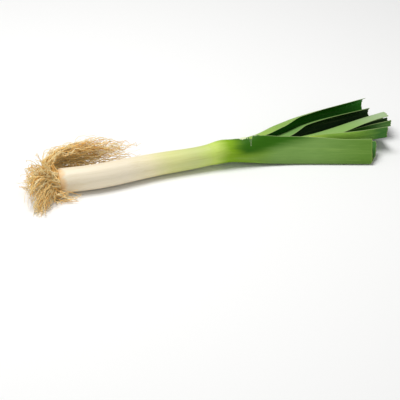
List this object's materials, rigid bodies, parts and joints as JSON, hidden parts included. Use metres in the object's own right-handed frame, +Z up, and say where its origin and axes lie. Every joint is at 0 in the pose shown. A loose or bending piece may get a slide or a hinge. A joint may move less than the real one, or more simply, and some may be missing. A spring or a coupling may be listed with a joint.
{
  "type": "leek",
  "caption": "Trimmed leek lying on its side: white shank, tuft of fine roots, and folded green leaves that fan out from the neck and are cut off square.",
  "frame": {"origin": "middle of the base of the box round the whole leek, on the surface that it lies on", "axes": "+X along the leek from its roots to its leaf ends, +Y across it towards the side that the root tuft is swept to, +Z up from the surface that it lies on"},
  "size_m": [0.5026, 0.1312, 0.0564],
  "materials": {
    "shank_skin": "smooth satin plant skin, cream white at the roots turning pale yellow-green towards the neck, with fine lengthwise lines",
    "leaf_skin": "satin leaf skin with fine parallel veins, yellow-green at the neck, deep green further out, with a thin greyish wax bloom",
    "root_plate_skin": "rough corky tan disc, set with root stubs",
    "root_fibre": "dry matt cream to tan root strands, darker in the depth of the tuft"
  },
  "bodies": {
    "root": {"shank": "shank_skin", "root_plate": "root_plate_skin", "outer_leaf_front": "leaf_skin", "outer_leaf_back": "leaf_skin", "middle_leaf_front": "leaf_skin", "middle_leaf_back": "leaf_skin", "inner_leaf_back": "leaf_skin", "heart_leaf": "leaf_skin", "root_lock_01": "root_fibre", "root_lock_02": "root_fibre", "root_lock_03": "root_fibre", "root_lock_04": "root_fibre", "root_lock_05": "root_fibre", "root_lock_06": "root_fibre", "root_lock_07": "root_fibre", "root_lock_08": "root_fibre", "root_lock_09": "root_fibre", "root_lock_10": "root_fibre", "root_lock_11": "root_fibre", "root_lock_12": "root_fibre", "root_lock_13": "root_fibre", "root_lock_14": "root_fibre", "root_lock_15": "root_fibre", "root_lock_16": "root_fibre", "root_lock_17": "root_fibre"}
  },
  "joints": []
}
